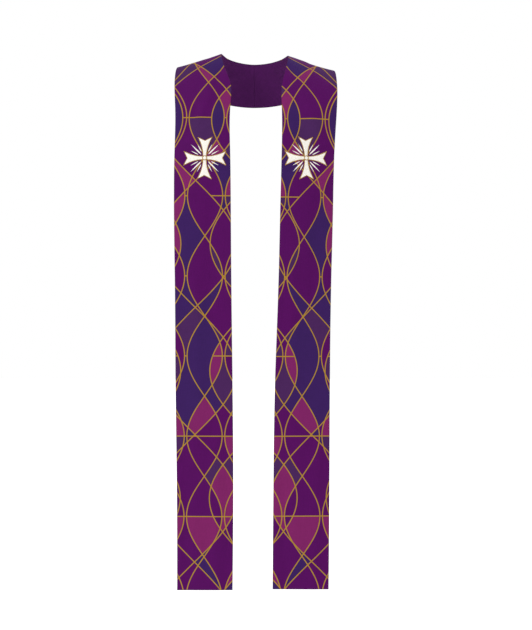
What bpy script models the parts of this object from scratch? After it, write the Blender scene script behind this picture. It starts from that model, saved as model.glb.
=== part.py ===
"""A clerical stole in the shape it takes when worn open over the shoulders.

Each half is one shaped strip: from a straight hem up the front, over the
shoulder and round to a seam at the centre back. The halves meet there with a
hairline gap. The strip's middle surface is lofted through a short table of
sections, and the cloth's two faces lie half its thickness to either side.

Metres, +Z up, the front faces -Y. The origin is the nape: the neck edge of
the centre-back seam, where the stole hangs on the back of the neck.
"""

from collections import namedtuple

import bpy
import numpy as np

# ---- sizes ---------------------------------------------------------------
CLOTH = 0.0020  # face cloth, stiffening and backing, sewn as one layer
SEAM_GAP = 0.0003  # between the two halves at the centre back
ACROSS = 8  # facets across a strip

# ---- sections ------------------------------------------------------------
# One row for each place along a half, from the centre back to the hem. x is
# counted outwards from the centre line for both halves. bow lifts the middle
# of the section outwards, off the straight line between its edges. strips
# is how many facets follow before the next row.
Section = namedtuple(
    "Section", "place inner_x inner_y inner_z outer_x outer_y outer_z bow strips"
)

# viewer's left, which hangs straight down
LEFT = [
    Section("centre back", 0.0000, 0.001, 0.0000, 0.0000, 0.043, -0.1010, 0.003, 4),
    Section("nape", 0.0400, -0.011, 0.0040, 0.0965, 0.030, -0.0850, 0.003, 4),
    Section("neck back", 0.0680, -0.042, 0.0125, 0.1570, -0.020, -0.0495, 0.003, 5),
    Section("ridge", 0.0780, -0.087, 0.0138, 0.1817, -0.097, -0.0160, 0.000, 5),
    Section("neck front", 0.0682, -0.133, -0.0225, 0.1872, -0.134, -0.0420, 0.003, 4),
    Section("collarbone", 0.0562, -0.1565, -0.0545, 0.1873, -0.155, -0.0700, 0.004, 3),
    Section("upper chest", 0.0558, -0.1895, -0.1200, 0.1845, -0.183, -0.1300, 0.005, 3),
    Section("chest", 0.0556, -0.217, -0.2190, 0.1856, -0.203, -0.2230, 0.006, 4),
    Section("breast", 0.0540, -0.229, -0.3400, 0.1864, -0.217, -0.3420, 0.005, 4),
    Section("waist", 0.0524, -0.232, -0.5400, 0.1839, -0.222, -0.5410, 0.003, 4),
    Section("hip", 0.0497, -0.236, -0.7600, 0.1823, -0.228, -0.7600, 0.002, 5),
    Section("knee", 0.0480, -0.243, -1.0000, 0.1790, -0.236, -1.0000, 0.003, 5),
    Section("hem", 0.0495, -0.250, -1.2400, 0.1780, -0.244, -1.2408, 0.002, 0),
]

# viewer's right, which leans in a little towards the hem and turns its outer
# edge back at the chest
RIGHT = [
    Section("centre back", 0.0000, 0.001, 0.0000, 0.0000, 0.043, -0.1010, 0.003, 4),
    Section("nape", 0.0405, -0.011, 0.0035, 0.0980, 0.030, -0.0870, 0.003, 4),
    Section("neck back", 0.0695, -0.042, 0.0108, 0.1620, -0.020, -0.0555, 0.003, 5),
    Section("ridge", 0.0806, -0.087, 0.0095, 0.1892, -0.097, -0.0245, -0.0010, 5),
    Section("neck front", 0.0735, -0.133, -0.0250, 0.1948, -0.134, -0.0505, 0.003, 4),
    Section("collarbone", 0.0660, -0.1565, -0.0565, 0.1957, -0.154, -0.0760, 0.004, 3),
    Section("upper chest", 0.0649, -0.1895, -0.1210, 0.1932, -0.180, -0.1330, 0.005, 3),
    Section("chest", 0.0645, -0.217, -0.2190, 0.1875, -0.191, -0.2240, 0.006, 4),
    Section("breast", 0.0612, -0.229, -0.3400, 0.1845, -0.202, -0.3430, 0.005, 4),
    Section("waist", 0.0565, -0.232, -0.5400, 0.1795, -0.211, -0.5410, 0.003, 4),
    Section("hip", 0.0488, -0.236, -0.7600, 0.1764, -0.221, -0.7600, 0.002, 5),
    Section("knee", 0.0450, -0.243, -1.0000, 0.1750, -0.233, -1.0000, 0.003, 5),
    Section("hem", 0.0430, -0.250, -1.2380, 0.1730, -0.243, -1.2390, 0.002, 0),
]

# node name, table, side of the centre line
HALVES = [("panel_left", LEFT, -1.0), ("panel_right", RIGHT, 1.0)]


# ---- lofting -------------------------------------------------------------
def spline(knots, values, flat_start):
    """A cubic through values at knots, as a function. It starts level where flat_start is set."""
    n, h = len(knots), np.diff(knots)
    slope = np.diff(values) / h
    rows, right = np.zeros((n, n)), np.zeros(n)
    for i in range(1, n - 1):
        rows[i, i - 1 : i + 2] = h[i - 1], 2 * (h[i - 1] + h[i]), h[i]
        right[i] = 6 * (slope[i] - slope[i - 1])
    rows[0, 0] = rows[-1, -1] = 1.0
    if flat_start:
        rows[0, :2] = 2 * h[0], h[0]
        right[0] = 6 * slope[0]
    bend = np.linalg.solve(rows, right)

    def at(t):
        i = np.clip(np.searchsorted(knots, t) - 1, 0, n - 2)
        a, b = knots[i + 1] - t, t - knots[i]
        return (
            (bend[i] * a**3 + bend[i + 1] * b**3) / (6 * h[i])
            + (values[i] / h[i] - bend[i] * h[i] / 6) * a
            + (values[i + 1] / h[i] - bend[i + 1] * h[i] / 6) * b
        )

    return at


def loft(sections, side):
    """The half's middle surface as a function of t, the run from the centre back, and s, 0 at the neck edge and 1 at the outer edge."""
    inner = np.array([(r.inner_x, r.inner_y, r.inner_z) for r in sections])
    outer = np.array([(r.outer_x, r.outer_y, r.outer_z) for r in sections])
    middle = (inner + outer) / 2
    knots = np.concatenate(
        [[0.0], np.cumsum(np.linalg.norm(np.diff(middle, axis=0), axis=1))]
    )
    # Only x runs on across the centre back, so the seam lies square to it.
    edges = [
        [spline(knots, line[:, axis], axis > 0) for axis in range(3)]
        for line in (inner, outer)
    ]
    bows = spline(knots, np.array([r.bow for r in sections]), True)

    def straight(t, s):
        a, b = (np.array([f(t) for f in line]) for line in edges)
        return a + (b - a) * s

    def point(t, s):
        along = straight(min(t + 1e-4, knots[-1]), s) - straight(max(t - 1e-4, 0.0), s)
        across = straight(t, 1.0) - straight(t, 0.0)
        out = np.cross(along, across)
        out /= np.linalg.norm(out)
        at = straight(t, s) + bows(t) * 4 * s * (1 - s) * out
        return at * (side, 1, 1)

    return knots, point


def normal(point, t, s, side, last):
    """The way the face cloth looks: outwards."""
    step = 5e-4
    along = point(min(t + step, last), s) - point(max(t - step, 0.0), s)
    across = point(t, min(s + 0.01, 1.0)) - point(t, max(s - 0.01, 0.0))
    out = np.cross(along, across) * side
    if t == 0.0:
        out[0] = 0.0
    return out / np.linalg.norm(out)


def half(name, sections, side):
    """One closed strip of cloth: two faces, two long edges, the seam end and the hem."""
    knots, point = loft(sections, side)
    stations = [0.0]
    for here, run, start in zip(sections, np.diff(knots), knots):
        stations += [start + run * (i + 1) / here.strips for i in range(here.strips)]
    stations[-1] = knots[-1]
    faces_up, faces_down = [], []
    for t in stations:
        for j in range(ACROSS + 1):
            s = j / ACROSS
            at, out = point(t, s), normal(point, t, s, side, knots[-1])
            if t == 0.0:
                at[0] = side * SEAM_GAP / 2
            faces_up.append(at + out * CLOTH / 2)
            faces_down.append(at - out * CLOTH / 2)
    row, count = ACROSS + 1, len(stations)
    up = lambda i, j: i * row + j
    down = lambda i, j: count * row + i * row + j
    quads = []
    for i in range(count - 1):
        for j in range(ACROSS):
            quads.append((up(i, j), up(i, j + 1), up(i + 1, j + 1), up(i + 1, j)))
            quads.append(
                (down(i, j), down(i + 1, j), down(i + 1, j + 1), down(i, j + 1))
            )
        quads.append((up(i, 0), up(i + 1, 0), down(i + 1, 0), down(i, 0)))
        quads.append(
            (
                up(i, ACROSS),
                down(i, ACROSS),
                down(i + 1, ACROSS),
                up(i + 1, ACROSS),
            )
        )
    for j in range(ACROSS):
        quads.append((up(0, j), down(0, j), down(0, j + 1), up(0, j + 1)))
        last = count - 1
        quads.append((up(last, j), up(last, j + 1), down(last, j + 1), down(last, j)))
    if side > 0:
        quads = [tuple(reversed(q)) for q in quads]
    mesh = bpy.data.meshes.new(name)
    mesh.from_pydata([tuple(p) for p in faces_up + faces_down], [], quads)
    mesh.validate()
    mesh.shade_smooth()
    mesh.set_sharp_from_angle(angle=0.9)
    obj = bpy.data.objects.new(name, mesh)
    bpy.context.scene.collection.objects.link(obj)
    return obj


def cloth_material(name, colour):
    material = bpy.data.materials.new(name)
    material.use_nodes = True
    shader = material.node_tree.nodes["Principled BSDF"]
    shader.inputs["Base Color"].default_value = (*colour, 1.0)
    shader.inputs["Roughness"].default_value = 0.62
    shader.inputs["Metallic"].default_value = 0.0
    return material


# ---- the stole -----------------------------------------------------------
for old in list(bpy.data.objects):
    bpy.data.objects.remove(old, do_unlink=True)

worn = bpy.data.objects.new("worn_at_the_nape", None)
bpy.context.scene.collection.objects.link(worn)
for name, table, side in HALVES:
    strip = half(name, table, side)
    strip.data.materials.append(cloth_material(name + "_cloth", (0.093, 0.008, 0.102)))
    strip.parent = worn
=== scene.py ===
"""The stole's finish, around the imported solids: two printed cloth shells with their soft creases, the embroidered emblems, studio light and the camera."""

from collections import namedtuple

import bpy
import numpy as np
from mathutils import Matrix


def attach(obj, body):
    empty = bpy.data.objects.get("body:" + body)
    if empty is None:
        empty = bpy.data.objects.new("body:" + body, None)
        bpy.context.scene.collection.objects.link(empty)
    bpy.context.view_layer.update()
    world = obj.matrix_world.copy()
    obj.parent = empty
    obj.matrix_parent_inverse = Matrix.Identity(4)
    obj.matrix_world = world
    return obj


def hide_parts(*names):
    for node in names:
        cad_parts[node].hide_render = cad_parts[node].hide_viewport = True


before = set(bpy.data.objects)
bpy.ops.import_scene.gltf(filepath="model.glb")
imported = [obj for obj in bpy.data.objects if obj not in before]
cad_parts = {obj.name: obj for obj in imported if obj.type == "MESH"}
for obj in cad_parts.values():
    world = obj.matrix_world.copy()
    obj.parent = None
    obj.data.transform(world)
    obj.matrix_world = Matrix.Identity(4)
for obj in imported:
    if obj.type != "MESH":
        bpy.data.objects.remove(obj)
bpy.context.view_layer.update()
scene = bpy.context.scene

# ---- sizes, metres -------------------------------------------------------
HALF_CLOTH = 0.00090  # half the thickness of the finished cloth
GRID = 0.0036  # spacing of the shell's points
EDGE_STEPS = 4  # points round a pressed edge
SEAM_CLEAR = -0.00002  # from the centre line to each half at the back seam
HEM_FOLD = 0.026  # depth of the turned-up hem
EDGE_FOLD = 0.011  # width turned in along the long edges
FOLD_STEP = 0.00013  # how far the turned layers lift the face
PRINT_LEAN = 0.0076  # radians that the print's upright leans from the hem's square
PRINT_DROP = 0.0020  # how far below the hem the print is counted from

# ---- the form ------------------------------------------------------------
# The sections of the two halves, from the centre back to the hem: the neck
# edge, the outer edge and the rise between them.
Section = namedtuple(
    "Section", "place inner_x inner_y inner_z outer_x outer_y outer_z bow"
)
LEFT = [
    Section("centre back", 0.0000, 0.001, 0.0000, 0.0000, 0.043, -0.1010, 0.003),
    Section("nape", 0.0400, -0.011, 0.0040, 0.0965, 0.030, -0.0850, 0.003),
    Section("neck back", 0.0680, -0.042, 0.0125, 0.1570, -0.020, -0.0495, 0.003),
    Section("ridge", 0.0780, -0.087, 0.0138, 0.1817, -0.097, -0.0160, 0.000),
    Section("neck front", 0.0682, -0.133, -0.0225, 0.1872, -0.134, -0.0420, 0.003),
    Section("collarbone", 0.0562, -0.1565, -0.0545, 0.1873, -0.155, -0.0700, 0.004),
    Section("upper chest", 0.0558, -0.1895, -0.1200, 0.1845, -0.183, -0.1300, 0.005),
    Section("chest", 0.0556, -0.217, -0.2190, 0.1856, -0.203, -0.2230, 0.006),
    Section("breast", 0.0540, -0.229, -0.3400, 0.1864, -0.217, -0.3420, 0.005),
    Section("waist", 0.0524, -0.232, -0.5400, 0.1839, -0.222, -0.5410, 0.003),
    Section("hip", 0.0497, -0.236, -0.7600, 0.1823, -0.228, -0.7600, 0.002),
    Section("knee", 0.0480, -0.243, -1.0000, 0.1790, -0.236, -1.0000, 0.003),
    Section("hem", 0.0495, -0.250, -1.2400, 0.1780, -0.244, -1.2408, 0.002),
]
RIGHT = [
    Section("centre back", 0.0000, 0.001, 0.0000, 0.0000, 0.043, -0.1010, 0.003),
    Section("nape", 0.0405, -0.011, 0.0035, 0.0980, 0.030, -0.0870, 0.003),
    Section("neck back", 0.0695, -0.042, 0.0108, 0.1620, -0.020, -0.0555, 0.003),
    Section("ridge", 0.0806, -0.087, 0.0095, 0.1892, -0.097, -0.0245, -0.0010),
    Section("neck front", 0.0735, -0.133, -0.0250, 0.1948, -0.134, -0.0505, 0.003),
    Section("collarbone", 0.0660, -0.1565, -0.0565, 0.1957, -0.154, -0.0760, 0.004),
    Section("upper chest", 0.0649, -0.1895, -0.1210, 0.1932, -0.180, -0.1330, 0.005),
    Section("chest", 0.0645, -0.217, -0.2190, 0.1875, -0.191, -0.2240, 0.006),
    Section("breast", 0.0612, -0.229, -0.3400, 0.1845, -0.202, -0.3430, 0.005),
    Section("waist", 0.0565, -0.232, -0.5400, 0.1795, -0.211, -0.5410, 0.003),
    Section("hip", 0.0488, -0.236, -0.7600, 0.1764, -0.221, -0.7600, 0.002),
    Section("knee", 0.0450, -0.243, -1.0000, 0.1750, -0.233, -1.0000, 0.003),
    Section("hem", 0.0430, -0.250, -1.2380, 0.1730, -0.243, -1.2390, 0.002),
]

# Soft creases. run is the distance from the back seam along the half, across
# is 0 at the neck edge and 1 at the outer edge. rise is a ridge, or a trough
# where it is negative, and curl bends the crease sideways at its middle.
Crease = namedtuple("Crease", "run0 across0 run1 across1 width rise curl")
LEFT_CREASES = [
    Crease(0.030, 0.10, 0.100, 0.62, 0.011, -0.0023, 0.004),
    Crease(0.075, 0.02, 0.150, 0.48, 0.009, 0.0021, -0.003),
    Crease(0.168, -0.02, 0.192, 0.40, 0.007, -0.0021, 0.002),
    Crease(0.232, -0.02, 0.330, 0.36, 0.008, -0.0023, 0.004),
    Crease(0.262, 0.14, 0.420, 0.66, 0.013, 0.0023, 0.006),
    Crease(0.330, 0.52, 0.455, 0.98, 0.011, -0.0018, -0.004),
    Crease(0.500, 0.27, 0.930, 0.36, 0.015, -0.0022, 0.006),
    Crease(0.640, 0.73, 1.180, 0.62, 0.018, 0.0025, -0.007),
    Crease(0.985, 0.20, 1.475, 0.29, 0.014, 0.0020, 0.004),
    Crease(1.120, 0.86, 1.475, 0.78, 0.013, -0.0019, 0.003),
]
RIGHT_CREASES = [
    Crease(0.022, 0.30, 0.118, 0.92, 0.012, 0.0019, 0.005),
    Crease(0.060, 0.00, 0.128, 0.44, 0.009, -0.0024, 0.003),
    Crease(0.160, -0.02, 0.205, 0.52, 0.008, 0.0018, -0.003),
    Crease(0.226, -0.02, 0.300, 0.30, 0.007, -0.0024, 0.003),
    Crease(0.250, 0.10, 0.455, 0.78, 0.013, 0.0021, 0.007),
    Crease(0.345, 0.18, 0.500, 0.60, 0.011, -0.0019, 0.003),
    Crease(0.520, 0.70, 0.880, 0.58, 0.016, -0.0023, 0.005),
    Crease(0.610, 0.25, 1.060, 0.40, 0.017, 0.0023, -0.006),
    Crease(0.940, 0.80, 1.475, 0.70, 0.014, 0.0022, 0.005),
    Crease(1.060, 0.16, 1.475, 0.24, 0.013, -0.0017, -0.003),
]


def spline(knots, values, flat_start):
    """A cubic through values at knots. It starts level where flat_start is set."""
    n, h = len(knots), np.diff(knots)
    slope = np.diff(values) / h
    rows, right = np.zeros((n, n)), np.zeros(n)
    for i in range(1, n - 1):
        rows[i, i - 1 : i + 2] = h[i - 1], 2 * (h[i - 1] + h[i]), h[i]
        right[i] = 6 * (slope[i] - slope[i - 1])
    rows[0, 0] = rows[-1, -1] = 1.0
    if flat_start:
        rows[0, :2] = 2 * h[0], h[0]
        right[0] = 6 * slope[0]
    bend = np.linalg.solve(rows, right)

    def at(t):
        i = np.clip(np.searchsorted(knots, t) - 1, 0, n - 2)
        a, b = knots[i + 1] - t, t - knots[i]
        return (
            (bend[i] * a**3 + bend[i + 1] * b**3) / (6 * h[i])
            + (values[i] / h[i] - bend[i] * h[i] / 6) * a
            + (values[i + 1] / h[i] - bend[i + 1] * h[i] / 6) * b
        )

    return at


def smooth(x):
    x = np.clip(x, 0.0, 1.0)
    return x * x * (3 - 2 * x)


def unit(v):
    return v / np.linalg.norm(v, axis=-1, keepdims=True)


class Half:
    """One half's middle surface, for arrays of run and across, and its flat cut."""

    def __init__(self, sections, creases, side, phase):
        inner = np.array([(r.inner_x, r.inner_y, r.inner_z) for r in sections])
        outer = np.array([(r.outer_x, r.outer_y, r.outer_z) for r in sections])
        steps = np.linalg.norm(np.diff((inner + outer) / 2, axis=0), axis=1)
        self.knots = np.concatenate([[0.0], np.cumsum(steps)])
        self.length, self.side = self.knots[-1], side
        self.creases, self.phase = creases, phase
        self.inner, self.outer = (
            [spline(self.knots, line[:, k], k > 0) for k in range(3)]
            for line in (inner, outer)
        )
        self.bow = spline(self.knots, np.array([r.bow for r in sections]), True)
        self.lay_flat()

    def ends(self, t):
        return (
            np.stack([f(t) for f in self.inner], -1),
            np.stack([f(t) for f in self.outer], -1),
        )

    def width(self, t):
        a, b = self.ends(t)
        return np.linalg.norm(b - a, axis=-1)

    def straight(self, t, s):
        a, b = self.ends(t)
        return a + (b - a) * s[..., None]

    def ripple(self, t, s):
        """How far the creases and the slow unevenness of hanging cloth lift the surface."""
        w, lift = 0.125, np.zeros_like(t)
        for c in self.creases:
            x0, y0 = c.run0, c.across0 * w
            dx, dy = c.run1 - c.run0, (c.across1 - c.across0) * w
            long = np.hypot(dx, dy)
            px, py = t - x0, s * w - y0
            f = (px * dx + py * dy) / long**2
            off = (py * dx - px * dy) / long - c.curl * 4 * f * (1 - f)
            ends = smooth(f / 0.32) * smooth((1 - f) / 0.32)
            if c.run1 >= self.length - 0.01:  # it runs out through the hem
                ends = smooth(f / 0.45)
            lift += c.rise * ends * np.exp(-((off / c.width) ** 2))
        p, u = self.phase, s * w
        slow = (
            np.sin(8.1 * t + 21 * u + p) * 0.00050
            + np.sin(15.3 * t - 34 * u + 1.7 * p) * 0.00028
            + np.sin(37.0 * t + 19 * u + 2.3 * p) * 0.00012
            + np.sin(61.0 * t - 88 * u + 0.6 * p) * 0.00007
        )
        return (lift + slow) * smooth(t / 0.035)

    def point(self, t, s):
        e = 1e-4
        along = self.straight(np.minimum(t + e, self.length), s) - self.straight(
            np.maximum(t - e, 0), s
        )
        a, b = self.ends(t)
        out = unit(np.cross(along, b - a))
        lift = self.bow(t) * 4 * s * (1 - s) + self.ripple(t, s)
        return self.straight(t, s) + lift[..., None] * out

    def frame(self, t, s):
        """(point, normal) in the stole's own place, the normal pointing outwards."""
        e, g = 4e-4, 4e-3
        here = self.point(t, s)
        along = self.point(np.minimum(t + e, self.length), s) - self.point(
            np.maximum(t - e, 0), s
        )
        across = self.point(t, np.minimum(s + g, 1.0)) - self.point(
            t, np.maximum(s - g, 0.0)
        )
        out = np.cross(along, across)
        out[..., 0] *= t > 0
        mirror = np.array([self.side, 1.0, 1.0])
        return here * mirror, unit(out) * mirror

    def lay_flat(self):
        """The cut: where each station's two ends fall when the half is laid flat, x outwards and y up from about the hem's middle, leaning as the print does."""
        count = 400
        t = np.linspace(self.length, 0, count + 1)
        a, b = self.ends(t)
        far = lambda p, q: np.linalg.norm(p - q)
        w = far(a[0], b[0])
        flat_a, flat_b = [np.array([-w / 2, 0.0])], [np.array([w / 2, 0.0])]

        def corner(p, q, dp, dq):
            """The point dp from p and dq from q, above the line from p to q."""
            span = np.linalg.norm(q - p)
            x = (dp**2 - dq**2 + span**2) / (2 * span)
            y = np.sqrt(max(dp**2 - x**2, 0.0))
            e = (q - p) / span
            return p + e * x + np.array([-e[1], e[0]]) * y

        for k in range(count):
            na = corner(
                flat_a[-1], flat_b[-1], far(a[k], a[k + 1]), far(b[k], a[k + 1])
            )
            nb = corner(na, flat_b[-1], far(a[k + 1], b[k + 1]), far(b[k], b[k + 1]))
            # nb lies on the other side of the line from the new neck point to the old outer one
            line = flat_b[-1] - na
            e = line / np.linalg.norm(line)
            off = nb - na
            nb = na + e * (off @ e) * 2 - off if np.cross(e, off) < 0 else nb
            flat_a.append(na)
            flat_b.append(nb)
        c, s = np.cos(PRINT_LEAN), np.sin(PRINT_LEAN)
        lean = np.array([[c, -s], [s, c]])
        self.flat_t = t[::-1]
        self.flat_a = np.array(flat_a)[::-1] @ lean - (0.0, PRINT_DROP)
        self.flat_b = np.array(flat_b)[::-1] @ lean - (0.0, PRINT_DROP)
        quads = (
            np.cross(
                self.flat_b[1:] - self.flat_a[:-1], self.flat_a[1:] - self.flat_b[:-1]
            )
            / 2
        )
        self.area = float(np.abs(quads).sum())
        both = np.vstack([self.flat_a, self.flat_b])
        self.cut = (1.0, 2.0)
        for tilt in np.radians(np.linspace(-4, 4, 81)):  # the narrowest oblong round it
            c, s = np.cos(tilt), np.sin(tilt)
            box = np.ptp(both @ np.array([[c, -s], [s, c]]), axis=0)
            if box[0] < self.cut[0]:
                self.cut = (float(box[0]), float(box[1]))

    def on_cloth(self, t, s):
        """Where a point lies on the flat cut, in metres."""
        a = np.stack([np.interp(t, self.flat_t, self.flat_a[:, k]) for k in (0, 1)], -1)
        b = np.stack([np.interp(t, self.flat_t, self.flat_b[:, k]) for k in (0, 1)], -1)
        return a + (b - a) * s[..., None]


def link(name, points, faces, materials, picks=None, maps=()):
    mesh = bpy.data.meshes.new(name)
    mesh.from_pydata(np.asarray(points, float).tolist(), [], faces)
    for material in materials:
        mesh.materials.append(material)
    if picks is not None:
        mesh.polygons.foreach_set("material_index", np.asarray(picks, np.int32))
    corners = np.empty(len(mesh.loops), np.int32)
    mesh.loops.foreach_get("vertex_index", corners)
    for layer, values in maps:  # a row for each vertex, or one for each corner
        uv = mesh.uv_layers.new(name=layer)
        values = values if len(values) == len(corners) else values[corners]
        uv.uv.foreach_set("vector", values.astype(np.float32).ravel())
    mesh.shade_smooth()
    mesh.update()
    obj = bpy.data.objects.new(name, mesh)
    scene.collection.objects.link(obj)
    return obj


# ---- the cloth shells ----------------------------------------------------
def stops(length, ends):
    """Places from 0 to length, GRID apart, closing up round an edge at each end."""
    turn = np.linspace(0, np.pi / 2, EDGE_STEPS + 1)
    near = HALF_CLOTH * (1 - np.cos(turn))
    marks = [near, length - near]
    for depth in ends:  # two close rows where a turned layer ends
        marks.append(np.array([depth - 0.0006, depth, depth + 0.0006]))
        marks.append(length - np.array([depth - 0.0006, depth, depth + 0.0006]))
    fixed = np.unique(np.concatenate(marks))
    out = [fixed[0]]
    for a, b in zip(fixed[:-1], fixed[1:]):
        parts = max(1, int(np.ceil((b - a) / GRID)))
        out += list(a + (b - a) * np.arange(1, parts + 1) / parts)
    return np.array(out)


def round_off(place, length):
    """1 inside the cloth, falling to 0 at both ends as a half circle does."""
    e = np.clip(np.minimum(place, length - place) / HALF_CLOTH, 0, 1)
    return np.sqrt(1 - (1 - e) ** 2)


def shell(name, half, cut, materials):
    """One half's cloth, closed all round. Its print lies as on the flat cut of the half called cut."""
    mean = float(half.width(np.linspace(0.3, half.length, 40)).mean())
    ts = stops(half.length, [HEM_FOLD])
    us = stops(mean, [EDGE_FOLD])
    n, m = len(ts), len(us)
    t, u = np.meshgrid(ts, us, indexing="ij")
    s = u / mean
    here, out = half.frame(t, s)
    thick = HALF_CLOTH * round_off(t, half.length) * round_off(u, mean)
    # The turned-in layers stand a little proud along the edges and at the hem.
    edge = np.minimum(u, mean - u)
    layers = np.maximum(
        1 - smooth((edge - EDGE_FOLD + 0.0006) / 0.0012),
        1 - smooth((half.length - t - HEM_FOLD + 0.0006) / 0.0012),
    )
    thick_out = thick + FOLD_STEP * layers * (thick > 0.8 * HALF_CLOTH)
    here = here + np.stack(
        [
            half.side * SEAM_CLEAR * (1 - smooth(t / 0.012)),
            np.zeros_like(t),
            np.zeros_like(t),
        ],
        -1,
    )
    front, back = here + out * thick_out[..., None], here - out * thick[..., None]
    inside = np.zeros((n, m), bool)
    inside[1:-1, 1:-1] = True
    up = np.arange(n * m).reshape(n, m)
    down = up.copy()
    down[inside] = n * m + np.arange(inside.sum())
    points = np.vstack([front.reshape(-1, 3), back[inside]])
    flat = cut.on_cloth(t * cut.length / half.length, s)
    flats = np.vstack([flat.reshape(-1, 2), flat[inside]])
    # Distances to the long edge and to the hem, which place the painted edge shade.
    near = np.stack([edge, half.length - t], -1)
    nears = np.vstack([near.reshape(-1, 2), near[inside]])
    faces, picks, corners = [], [], []
    turn = EDGE_STEPS
    ij = np.stack(np.meshgrid(np.arange(n), np.arange(m), indexing="ij"), -1)
    for i in range(n - 1):
        for j in range(m - 1):
            ring = ((i, j), (i, j + 1), (i + 1, j + 1), (i + 1, j))
            for sheet, out_side in ((up, 1), (down, -1)):
                way = ring if out_side * half.side < 0 else ring[::-1]
                faces.append([sheet[k] for k in way])
                corners += way
                rim = j < turn or i >= n - 1 - turn or j >= m - 1 - turn
                picks.append(0 if out_side > 0 or rim else 1)
    i, j = np.array(corners).T
    strips = unwrapped(ts[i], us[j], half.length, mean)
    maps = [("print", flats), ("OFBake", strips), ("edges", nears)]
    return link(name, points, faces, materials, picks, maps)


def unwrapped(run, across, length, width):
    """A place in the unit square for each corner of the faces, which come as one of the front and one of the back in turn. The front lies in three strips, the back in two smaller ones above them."""
    gap = 0.004
    side = length / 3 + 2 * gap
    quad_run = run.reshape(-1, 4).mean(axis=1).repeat(4)
    back = (np.arange(len(run)) // 4) % 2 == 1
    scale = np.where(back, 0.4, 1.0)
    parts = np.where(back, 2, 3)
    strip = np.minimum((quad_run / length * parts).astype(int), parts - 1)
    x = gap + scale * (run - strip * length / parts)
    y = gap + scale * across + strip * (scale * width + gap)
    y += np.where(back, 3 * (width + gap), 0.0)
    return np.stack([x, y], -1) / side


# ---- node arithmetic -----------------------------------------------------
class Tree:
    """A material's nodes, with sums written as sums."""

    def __init__(self, name):
        self.material = bpy.data.materials.new(name)
        self.material.use_nodes = True
        self.nodes = self.material.node_tree.nodes
        self.links = self.material.node_tree.links
        self.shader = self.nodes["Principled BSDF"]

    def node(self, kind, **settings):
        made = self.nodes.new(kind)
        for key, value in settings.items():
            setattr(made, key, value)
        return made

    def feed(self, socket, value):
        if isinstance(value, Term):
            self.links.new(value.socket, socket)
        elif value is not None:
            socket.default_value = value

    def math(self, operation, *values, clamp=False):
        made = self.node("ShaderNodeMath", operation=operation, use_clamp=clamp)
        for socket, value in zip(made.inputs, values):
            self.feed(socket, value)
        return Term(self, made.outputs[0])

    def vector(self, x, y, z):
        made = self.node("ShaderNodeCombineXYZ")
        for socket, value in zip(made.inputs, (x, y, z)):
            self.feed(socket, value)
        return Term(self, made.outputs[0])

    def noise(self, vector, scale, detail=2.0, rough=0.5):
        made = self.node("ShaderNodeTexNoise")
        self.feed(made.inputs["Vector"], vector)
        made.inputs["Scale"].default_value = scale
        made.inputs["Detail"].default_value = detail
        made.inputs["Roughness"].default_value = rough
        return Term(self, made.outputs[0])

    def chance(self, vector, w):
        """A number from 0 to 1 that is the same all over one pane."""
        made = self.node("ShaderNodeTexWhiteNoise", noise_dimensions="4D")
        self.feed(made.inputs["Vector"], vector)
        self.feed(made.inputs["W"], w)
        return Term(self, made.outputs["Value"])

    def between(self, value, low, high, a=0.0, b=1.0):
        made = self.node("ShaderNodeMapRange", interpolation_type="SMOOTHSTEP")
        for socket, given in zip(made.inputs, (value, low, high, a, b)):
            self.feed(socket, given)
        return Term(self, made.outputs[0])

    def mix(self, factor, a, b):
        made = self.node("ShaderNodeMix", data_type="RGBA")
        self.feed(made.inputs[0], factor)
        self.feed(made.inputs[6], a)
        self.feed(made.inputs[7], b)
        return Term(self, made.outputs[2])

    def tone(self, colour, amount):
        """colour made lighter or darker, by a factor."""
        made = self.node("ShaderNodeMix", data_type="RGBA", blend_type="MULTIPLY")
        made.inputs[0].default_value = 1.0
        self.feed(made.inputs[6], colour)
        self.feed(made.inputs[7], self.vector(amount, amount, amount))
        return Term(self, made.outputs[2])

    def bump(self, height, distance, strength):
        made = self.node("ShaderNodeBump")
        made.inputs["Strength"].default_value = strength
        made.inputs["Distance"].default_value = distance
        self.feed(made.inputs["Height"], height)
        self.links.new(made.outputs[0], self.shader.inputs["Normal"])

    def finish(self, **sockets):
        for name, value in sockets.items():
            self.feed(self.shader.inputs[name.replace("_", " ")], value)
        return self.material


class Term:
    """An output socket that can be added, multiplied and so on."""

    def __init__(self, tree, socket):
        self.tree, self.socket = tree, socket

    def __add__(self, other):
        return self.tree.math("ADD", self, other)

    def __sub__(self, other):
        return self.tree.math("SUBTRACT", self, other)

    def __mul__(self, other):
        return self.tree.math("MULTIPLY", self, other)

    def __truediv__(self, other):
        return self.tree.math("DIVIDE", self, other)

    def __lt__(self, other):
        return self.tree.math("LESS_THAN", self, other)

    def __gt__(self, other):
        return self.tree.math("GREATER_THAN", self, other)

    def floor(self):
        return self.tree.math("FLOOR", self)

    def round(self):
        return self.tree.math("ROUND", self)

    def size(self):
        return self.tree.math("ABSOLUTE", self)

    def sin(self):
        return self.tree.math("SINE", self)

    def cos(self):
        return self.tree.math("COSINE", self)

    def least(self, other):
        return self.tree.math("MINIMUM", self, other)

    def most(self, other):
        return self.tree.math("MAXIMUM", self, other)


def linear(r, g, b):
    """A screen colour, 0 to 255, as the renderer counts it."""
    out = []
    for c in (r, g, b):
        c /= 255
        out.append(c / 12.92 if c <= 0.04045 else ((c + 0.055) / 1.055) ** 2.4)
    return (*out, 1.0)


def cloth_place(tree, name="print"):
    """(across, up) on the flat cloth, in metres, or the distances to its long edge and its hem."""
    source = tree.node("ShaderNodeUVMap", uv_map=name)
    parts = tree.node("ShaderNodeSeparateXYZ")
    tree.links.new(source.outputs[0], parts.inputs[0])
    return Term(tree, parts.outputs[0]), Term(tree, parts.outputs[1])


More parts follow.
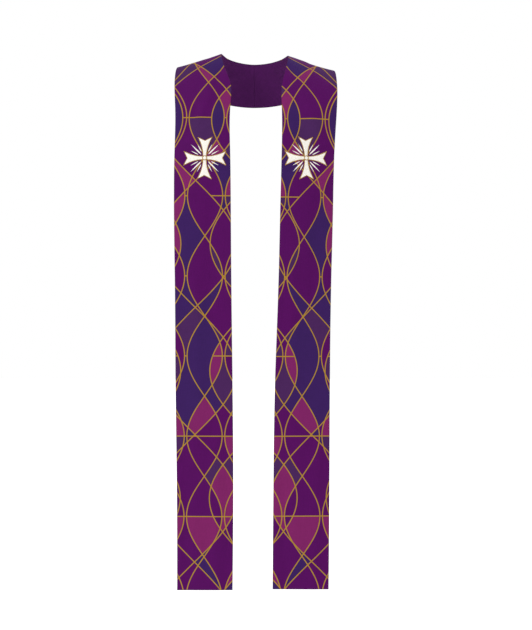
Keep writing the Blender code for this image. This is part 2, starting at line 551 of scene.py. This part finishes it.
def painted_edge_shade(tree):
    """Painted shade: a little darker within about 2 mm of the long edges and the hem, where the cloth turns under and
    away from the light.
    """
    side, hem = cloth_place(tree, "edges")
    return tree.between(side.least(hem), 0.0002, 0.0019, 0.70, 1.0)


THREAD = 0.00062  # pitch of the weave


def weave(tree, u, v):
    """(height, tone) of a plain weave with a little slub in its threads."""
    across = (u * (np.pi / THREAD)).sin().size()
    along = (v * (np.pi / THREAD)).sin().size()
    odd = ((u / THREAD).floor() + (v / THREAD).floor()) * 0.5
    over = (odd - odd.floor()) * 2
    crossing = across * over + along * (over * -1 + 1)
    warp = tree.noise(tree.vector(u * 900, v * 34, 0.0), 1.0)
    weft = tree.noise(tree.vector(u * 34, v * 900, 7.0), 1.0)
    slub = warp + weft - 1.0
    height = crossing * 0.55 + slub * 0.9
    return height, slub


# ---- the printed pattern -------------------------------------------------
# Two interlaced ogee lattices, drawn as leaded panes: spacing across, swing
# of the line, length of a repeat, where it starts and how far it is set over.
Ogee = namedtuple("Ogee", "spacing swing repeat start shift")
FINE = Ogee(0.0880, 0.0410, 0.372, 0.30, 0.002)
BROAD = Ogee(0.1300, 0.0960, 0.590, 0.90, 0.024)
LINE = 0.0024  # width of the gold lines
PLUM = linear(72, 5, 78)
DUSKY = linear(62, 29, 76)
INDIGO = linear(49, 23, 79)
MAGENTA = linear(108, 27, 84)
GOLD = linear(151, 115, 36)
SEED = 18.0


def ogee(tree, u, v, o):
    """(distance to the nearest line, column of the pane each way, row of the pane, phase, whether the pane narrows at each half turn)"""
    turns = v / o.repeat + o.start / (2 * np.pi)
    angle = turns * (2 * np.pi)
    swing = angle.cos() * o.swing
    slope = angle.sin() * (o.swing * 2 * np.pi / o.repeat)
    tilt = tree.math("SQRT", slope * slope + 1)
    one = (u - o.shift - swing) / o.spacing
    two = (u - o.shift + swing) / o.spacing
    gap = lambda x: (x - x.round()).size() * o.spacing / tilt
    near = gap(one).least(gap(two))
    a, b = one.floor(), two.floor()
    less, more = a < b, a > b
    same = less * -1 - more + 1
    row = less * turns.round() + more * turns.floor() + same * (turns * 2).floor()
    return near, a, b, row, turns, same


def printed_cloth(name, seed):
    tree = Tree(name)
    u, v = cloth_place(tree)
    near_f, fa, fb, frow, fturn, narrows = ogee(tree, u, v, FINE)
    near_b, ba, bb, brow, _, _ = ogee(tree, u, v, BROAD)
    # Some panes of the broad lattice are parted by level bars, and so is each
    # pane of the fine one where it narrows to a neck.
    pane = tree.vector(ba + 0.5, bb + 0.5, brow + 0.5)
    barred = tree.chance(pane, seed + 20.5) > 0.62
    half_turn = fturn * 2
    bar = (half_turn - half_turn.round()).size() * (FINE.repeat / 2)
    bar = bar + (barred.most(narrows) * -1 + 1)
    near = near_f.least(near_b).least(bar)
    line = tree.between(near, LINE / 2 - 0.0002, LINE / 2 + 0.0002, 1.0, 0.0)
    mark = tree.vector(
        fa * 7 + fb + 0.5, frow + barred * half_turn.floor() * 31 + 0.5, ba * 7 + bb + 0.5
    )
    pick = tree.chance(mark, brow + (seed + 0.5))
    ramp = tree.node("ShaderNodeValToRGB")
    ramp.color_ramp.interpolation = "CONSTANT"
    stops_at = [(0.0, PLUM), (0.53, DUSKY), (0.69, INDIGO), (0.86, MAGENTA)]
    for k, (place, colour) in enumerate(stops_at):
        stop = (
            ramp.color_ramp.elements[k]
            if k < 2
            else ramp.color_ramp.elements.new(place)
        )
        stop.position, stop.color = place, colour
    tree.feed(ramp.inputs[0], pick)
    panes = Term(tree, ramp.outputs[0])
    # Each pane takes the dye a little unevenly, and a little darker by a line.
    cloud = tree.noise(tree.vector(u * 26, v * 26, 3.0), 1.0, 3.0, 0.6)
    height, slub = weave(tree, u, v)
    edge = tree.between(near, LINE / 2, LINE / 2 + 0.0020, 0.93, 1.0)
    shade = (cloud * 0.16 + 0.92) * (slub * 0.22 + 1.0) * edge
    # Painted shade along the turned edges and the hem darkens the panes and the gold lines.
    edge_shade = painted_edge_shade(tree)
    ink = tree.tone(panes, shade * edge_shade)
    thread = tree.noise(tree.vector(u * 60, v * 60, 11.0), 1.0, 2.0, 0.5)
    gold = tree.tone(GOLD, (thread * 0.24 + 0.88) * (slub * 0.3 + 1.0) * edge_shade)
    colour = tree.mix(line, ink, gold)
    tree.bump(height + line * 0.35, 0.00022, 0.55)
    return tree.finish(
        Base_Color=colour,
        Roughness=line * -0.10 + 0.72,
        Sheen_Weight=0.018,
        Sheen_Roughness=0.45,
        Sheen_Tint=(0.80, 0.60, 0.88, 1.0),
        Specular_IOR_Level=0.06,
    )


def plain_cloth():
    tree = Tree("stole_backing")
    u, v = cloth_place(tree)
    height, slub = weave(tree, u, v)
    cloud = tree.noise(tree.vector(u * 22, v * 22, 5.0), 1.0, 3.0, 0.6)
    shade = (cloud * 0.30 + 0.85) * (slub * 0.42 + 1.0)
    tree.bump(height, 0.00022, 0.55)
    # The backing's colour carries the painted shade along its turned edges and hem.
    return tree.finish(
        Base_Color=tree.tone(linear(70, 20, 78), shade * painted_edge_shade(tree)),
        Roughness=0.70,
        Sheen_Weight=0.018,
        Sheen_Roughness=0.5,
        Sheen_Tint=(0.80, 0.60, 0.88, 1.0),
        Specular_IOR_Level=0.06,
    )


def stitching(name, colour, rough, level):
    """Satin-stitch thread. The map called thread counts threads up its second axis."""
    tree = Tree(name)
    source = tree.node("ShaderNodeUVMap", uv_map="thread")
    parts = tree.node("ShaderNodeSeparateXYZ")
    tree.links.new(source.outputs[0], parts.inputs[0])
    u, v = Term(tree, parts.outputs[0]), Term(tree, parts.outputs[1])
    each = tree.chance(tree.vector(v.floor() + 0.5, 0.5, 0.5), 3.5)
    fibre = tree.noise(tree.vector(u * 150, v * 2.2, 1.0), 1.0, 2.0, 0.5)
    shade = each * 0.07 + fibre * 0.14 + 0.885
    tree.bump(fibre, 0.00006, 0.5)
    return tree.finish(
        Base_Color=tree.tone(colour, shade),
        Roughness=fibre * 0.12 + rough,
        Sheen_Weight=0.05,
        Sheen_Roughness=0.35,
        Specular_IOR_Level=level,
    )


# ---- the emblems ---------------------------------------------------------
# A forked cross in white satin stitch, edged with a gold cord, with three
# rays between its arms. Sizes on the cloth, from the middle of the cross.
ARM_LENGTH = 0.0490  # to the points of the fork
ARM_NOTCH = 0.0085  # depth of the fork
ARM_START = 0.0020
ARM_NARROW = 0.0036  # half width at the middle of the cross
ARM_BROAD = 0.0165  # half width at the points
ARM_SWELL = 2.1  # how late the arm broadens
THREAD_PITCH = 0.00060
PAD = 0.0013  # height of the padded stitching
CORD_PLY = 0.00040  # radius of each of the cord's two strands
CORD_TWIST = 0.0030  # length of one turn of the cord
BOSS = 0.0046  # radius of the round in the middle
Ray = namedtuple("Ray", "angle start end width")
RAYS = [
    Ray(45.0, 0.0120, 0.0455, 0.00165),
    Ray(28.0, 0.0175, 0.0370, 0.00115),
    Ray(62.0, 0.0175, 0.0370, 0.00115),
]


class Ground:
    """The face of a half round one point, addressed by distances along the cloth."""

    def __init__(self, half, run, across):
        self.half, self.start = half, np.array([run, across])
        e = np.array([1e-3, 1e-2])
        spots = self.start + np.array([(0, 0), (e[0], 0), (0, e[1])])
        flat = half.on_cloth(spots[:, 0], spots[:, 1])
        steps = np.stack([(flat[1] - flat[0]) / e[0], (flat[2] - flat[0]) / e[1]], -1)
        self.back = np.linalg.inv(steps)

    def lay(self, x, y, height):
        """Points x outwards and y up from the middle, and height above the face."""
        t, s = self.start[:, None] + self.back @ np.stack([x.ravel(), y.ravel()])
        here, out = self.half.frame(t, s)
        points = here + out * (HALF_CLOTH + height.ravel())[:, None]
        return points.reshape(*x.shape, 3), out.reshape(*x.shape, 3)

    def outwards(self, faces):
        """Faces that run anticlockwise in x and y, turned to look out of this half."""
        return faces if self.half.side > 0 else [f[::-1] for f in faces]


class Heap:
    """Closed patches gathered into one mesh."""

    def __init__(self):
        self.points, self.faces, self.maps, self.count = [], [], [], 0

    def add(self, points, faces, thread):
        self.points.append(points.reshape(-1, 3))
        self.maps.append(thread.reshape(-1, 2))
        self.faces += [[k + self.count for k in f] for f in faces]
        self.count += len(self.points[-1])

    def patch(self, ground, x, y, height, thread):
        """A grid of stitches, closed by a plain underside sunk in the cloth."""
        n, m = x.shape
        keep = [m // 4, m // 2, m - 1 - m // 4]
        top, _ = ground.lay(x, y, height)
        sunk, _ = ground.lay(x[:, keep], y[:, keep], np.full((n, 3), -0.00045))
        at = np.arange(n * m).reshape(n, m)
        low = n * m + np.arange(n * 3).reshape(n, 3)
        low = np.hstack([at[:, :1], low, at[:, -1:]])
        faces = []
        for grid, way in ((at, 1), (low, -1)):
            quads = np.stack(
                [grid[:-1, :-1], grid[:-1, 1:], grid[1:, 1:], grid[1:, :-1]], -1
            )
            faces += quads.reshape(-1, 4)[:, ::way].tolist()
        faces += [at[0, ::-1].tolist() + low[0, 1:-1].tolist()]
        faces += [at[-1].tolist() + low[-1, -2:0:-1].tolist()]
        points = np.vstack([top.reshape(-1, 3), sunk.reshape(-1, 3)])
        maps = np.vstack([thread.reshape(-1, 2), thread[:, keep].reshape(-1, 2)])
        self.add(points, ground.outwards(faces), maps)

    def tube(self, path, radius, ring):
        """A closed loop of thread round path."""
        way = unit(np.roll(path, -1, axis=0) - np.roll(path, 1, axis=0))
        flat = np.array([0.0, 1.0, 0.0]) + np.zeros_like(way)
        one = unit(flat - (flat * way).sum(-1, keepdims=True) * way)
        two = np.cross(way, one)
        turn = np.arange(ring) * 2 * np.pi / ring
        points = path[:, None] + radius * (
            one[:, None] * np.cos(turn)[:, None] + two[:, None] * np.sin(turn)[:, None]
        )
        n = len(path)
        at = np.arange(n * ring).reshape(n, ring)
        nxt, side = np.roll(at, -1, axis=0), np.roll(at, -1, axis=1)
        both = np.roll(nxt, -1, axis=1)
        faces = np.stack([at, side, both, nxt], -1).reshape(-1, 4).tolist()
        run = np.arange(n)[:, None] * 0.0003 + np.zeros((1, ring))
        around = np.arange(ring)[None] * 0.3 + np.zeros((n, 1))
        self.add(points, faces, np.stack([run, around], -1))

    def make(self, name, material, slot):
        obj = link(
            name,
            np.vstack(self.points),
            self.faces,
            [material],
            maps=[("thread", np.vstack(self.maps))],
        )
        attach(obj, "root")
        return obj


def threads(count, samples):
    """(place along, height of a row of round threads there)"""
    k = np.arange(count * samples + 1) / samples
    return k, np.abs(np.sin(np.pi * k)) ** 0.7


def half_arm(a):
    """Half the width of a cross's arm, a from 0 at the middle to 1 at the points."""
    return ARM_NARROW + (ARM_BROAD - ARM_NARROW) * a**ARM_SWELL


def arm_reach(a, b):
    """How far out a thread lies: b is 0 on the arm's middle line and 1 at its edge."""
    end = ARM_LENGTH - ARM_NOTCH * (1 - np.abs(b))
    return ARM_START + (end - ARM_START) * a


def turned(x, y, angle):
    c, s = np.cos(np.radians(angle)), np.sin(np.radians(angle))
    return x * c - y * s, x * s + y * c


def satin_arm(heap, ground, angle, chance):
    count = int((ARM_LENGTH - ARM_START) / THREAD_PITCH)
    k, round_top = threads(count, 4)
    b = np.sin(np.linspace(-np.pi / 2, np.pi / 2, 19))
    a, bb = np.meshgrid(k / count, b, indexing="ij")
    ragged = chance.normal(0, 0.00010, (count + 1, 2))[
        np.minimum(k.astype(int), count)
    ]
    edge = np.where(bb < 0, ragged[:, :1], ragged[:, 1:])
    across = bb * (half_arm(a) + edge * np.abs(bb) ** 3)
    out = arm_reach(a, bb)
    dome = np.sqrt(np.clip(1 - np.abs(bb) ** 2.6, 0, 1))
    ends = np.sqrt(np.clip(1 - np.abs(2 * a - 1) ** 26, 0, 1))
    split = 1 - 0.16 * np.exp(-((bb / 0.10) ** 2))
    slack = 1 + 0.05 * chance.standard_normal(count + 1)[np.minimum(k.astype(int), count)]
    height = PAD * dome * ends * split * slack[:, None]
    height += 0.00013 * round_top[:, None] * dome
    height -= 0.00030 * (1 - dome * ends)
    x, y = turned(across, out, angle)
    heap.patch(
        ground, x, y, height, np.stack([across, np.repeat(k[:, None], 19, 1)], -1)
    )


def satin_ray(heap, ground, ray, turn):
    count = int((ray.end - ray.start) / THREAD_PITCH)
    k, round_top = threads(count, 3)
    b = np.sin(np.linspace(-np.pi / 2, np.pi / 2, 9))
    a, bb = np.meshgrid(k / count, b, indexing="ij")
    body = np.sin(np.pi * np.clip(a, 0, 1) ** 0.62) ** 0.8
    body = ray.width * np.maximum(body, 0.10)
    across = bb * body
    out = ray.start + (ray.end - ray.start) * a + across * 0.35
    dome = np.sqrt(np.clip(1 - bb**2, 0, 1))
    height = (0.25 + 0.75 * body / ray.width) * 0.00075 * dome
    height += 0.00009 * round_top[:, None] * dome - 0.00020 * (1 - dome)
    x, y = turned(across, out, turn - ray.angle)
    heap.patch(
        ground, x, y, height, np.stack([across, np.repeat(k[:, None], 9, 1)], -1)
    )


def satin_boss(heap, ground):
    """The round in the middle, its threads running out from the centre."""
    count = 40
    k, round_top = threads(count, 4)
    k, round_top = k[:-1], round_top[:-1]
    r = np.sin(np.linspace(0.05, np.pi / 2, 9))
    kk, rr = np.meshgrid(k, r, indexing="ij")
    x, y = rr * BOSS * np.cos(kk / count * 2 * np.pi), rr * BOSS * np.sin(
        kk / count * 2 * np.pi
    )
    height = PAD * 0.75 + 0.0010 * np.sqrt(np.clip(1 - rr**2, 0, 1))
    height += 0.00010 * round_top[:, None] * rr - 0.0012 * rr**14
    points, _ = ground.lay(x, y, height)
    n, m = points.shape[:2]
    at = np.arange(n * m).reshape(n, m)
    nxt = np.roll(at, -1, axis=0)
    faces = np.stack(
        [at[:, :-1], at[:, 1:], nxt[:, 1:], nxt[:, :-1]], -1
    ).reshape(-1, 4)
    faces = faces.tolist() + [at[:, 0].tolist(), at[::-1, -1].tolist()]
    heap.add(points, ground.outwards(faces), np.stack([rr * BOSS, kk], -1))


def smooth_loop(points, step, rounds):
    """A closed path, evenly spaced, with its corners eased."""
    loop = np.vstack([points, points[:1]])
    long = np.concatenate([[0], np.cumsum(np.linalg.norm(np.diff(loop, axis=0), axis=1))])
    count = int(round(long[-1] / step))
    at = np.arange(count) * long[-1] / count
    even = np.stack([np.interp(at, long, loop[:, k]) for k in range(loop.shape[1])], -1)
    for _ in range(rounds):
        even = (np.roll(even, 1, axis=0) + 2 * even + np.roll(even, -1, axis=0)) / 4
    return even


def cross_outline(clear):
    """The cross's edge, moved out by clear, as x and y."""
    a = np.linspace(0, 1, 400)
    edge = np.stack([half_arm(a) + clear, arm_reach(a, np.ones_like(a))], -1)
    edge = edge[edge[:, 1] >= edge[:, 0]]  # from where it meets the next arm's edge
    b = np.linspace(1, 0, 12)[1:]
    fork = np.stack(
        [b * (ARM_BROAD + clear), arm_reach(np.ones_like(b), b) + clear], -1
    )
    right = np.vstack([edge, [[ARM_BROAD + clear * 0.9, ARM_LENGTH + clear]], fork])
    arm = np.vstack([right, (right * (-1, 1))[::-1][1:]])  # right edge, fork, left edge
    loops = [np.stack(turned(arm[:, 0], arm[:, 1], turn), -1) for turn in (0, 90, 180, 270)]
    return np.vstack(loops)


def couched_cord(heap, ground, outline, raised):
    """A cord of two strands twisted together, laid along outline and raised above the face."""
    step = CORD_TWIST / 11
    flat = smooth_loop(outline, step, 5)
    long = len(flat) * step
    turns = round(long / CORD_TWIST)
    phase = np.arange(len(flat)) / len(flat) * turns * 2 * np.pi
    way = unit(np.roll(flat, -1, axis=0) - np.roll(flat, 1, axis=0))
    aside = np.stack([-way[:, 1], way[:, 0]], -1)
    for strand in (0.0, np.pi):
        off = CORD_PLY * np.cos(phase + strand)
        lift = raised + CORD_PLY * (1.35 + np.sin(phase + strand))
        at = flat + aside * off[:, None]
        points, _ = ground.lay(at[:, 0], at[:, 1], lift)
        heap.tube(points, CORD_PLY * 1.12, 6)


def emblem(side, half, run, across):
    ground = Ground(half, run, across)
    chance = np.random.default_rng(7 if side == "left" else 8)
    white, gold = Heap(), Heap()
    for turn in (0, 90, 180, 270):
        satin_arm(white, ground, turn, chance)
        for ray in RAYS:
            satin_ray(white, ground, ray, turn)
    satin_boss(white, ground)
    couched_cord(gold, ground, cross_outline(CORD_PLY * 1.1), 0.0)
    ring = np.linspace(0, 2 * np.pi, 80, endpoint=False)
    ring = np.stack([np.cos(ring), np.sin(ring)], -1) * (BOSS + CORD_PLY)
    couched_cord(gold, ground, ring, PAD * 0.8)
    white.make(f"emblem_{side}", white_thread, "emblem_thread")
    gold.make(f"emblem_cord_{side}", gold_thread, "gold_thread")


print_material, back_material = printed_cloth("stole_print", SEED), plain_cloth()
halves = {
    "left": Half(LEFT, LEFT_CREASES, -1.0, 0.4),
    "right": Half(RIGHT, RIGHT_CREASES, 1.0, 2.9),
}
white_thread = stitching("white_thread", linear(223, 220, 211), 0.45, 0.25)
gold_thread = stitching("gold_thread", linear(170, 128, 52), 0.40, 0.40)
EMBLEMS = {"left": (0.4765, 0.450), "right": (0.4700, 0.455)}  # run, across
for side, half in halves.items():
    piece = shell(f"stole_{side}", half, halves["left"], [print_material, back_material])
    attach(piece, "root")
    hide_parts(f"panel_{side}")
    emblem(side, half, *EMBLEMS[side])

# ---- floor, light and camera ---------------------------------------------
FLOOR_Z = -1.50
floor = link(
    "floor",
    [(x, y, FLOOR_Z) for x, y in ((-30, -30), (30, -30), (30, 30), (-30, 30))],
    [(0, 1, 2, 3)],
    [],
)
pale = Tree("floor_white")
floor.data.materials.append(
    pale.finish(Base_Color=(0.92, 0.92, 0.92, 1.0), Roughness=0.9)
)

world = bpy.data.worlds.new("studio")
scene.world = world
world.use_nodes = True
sky = world.node_tree.nodes["Background"]
sky.inputs["Color"].default_value = (1.0, 1.0, 1.0, 1.0)
sky.inputs["Strength"].default_value = 1.0


def soft_sun(name, way, strength, spread):
    """Parallel light that travels along way, as soft as a large box of the given angle."""
    lamp = bpy.data.lights.new(name, "SUN")
    lamp.energy, lamp.angle = strength, spread
    obj = bpy.data.objects.new(name, lamp)
    scene.collection.objects.link(obj)
    x, y, z = unit(np.array(way, float))
    obj.rotation_euler = (float(np.arccos(-z)), 0.0, float(np.arctan2(-x, y)))


soft_sun("key", (0.66, 0.50, -0.56), 1.45, 0.35)
soft_sun("back", (-0.72, -0.50, -0.48), 1.1, 0.35)

PIXEL = 0.00232  # metres a pixel on the plane of the hanging fronts
PLANE_Y, DISTANCE = -0.235, 6.0
camera = bpy.data.cameras.new("camera")
camera.lens = DISTANCE / PIXEL * 36 / 630
camera.sensor_width = 36
camera.clip_end = 100
eye = bpy.data.objects.new("camera", camera)
scene.collection.objects.link(eye)
eye.location = (12 * PIXEL, PLANE_Y - DISTANCE, -0.6033)
eye.rotation_euler = (np.pi / 2, 0.0, 0.0)
scene.camera = eye
scene.view_settings.view_transform = "Standard"
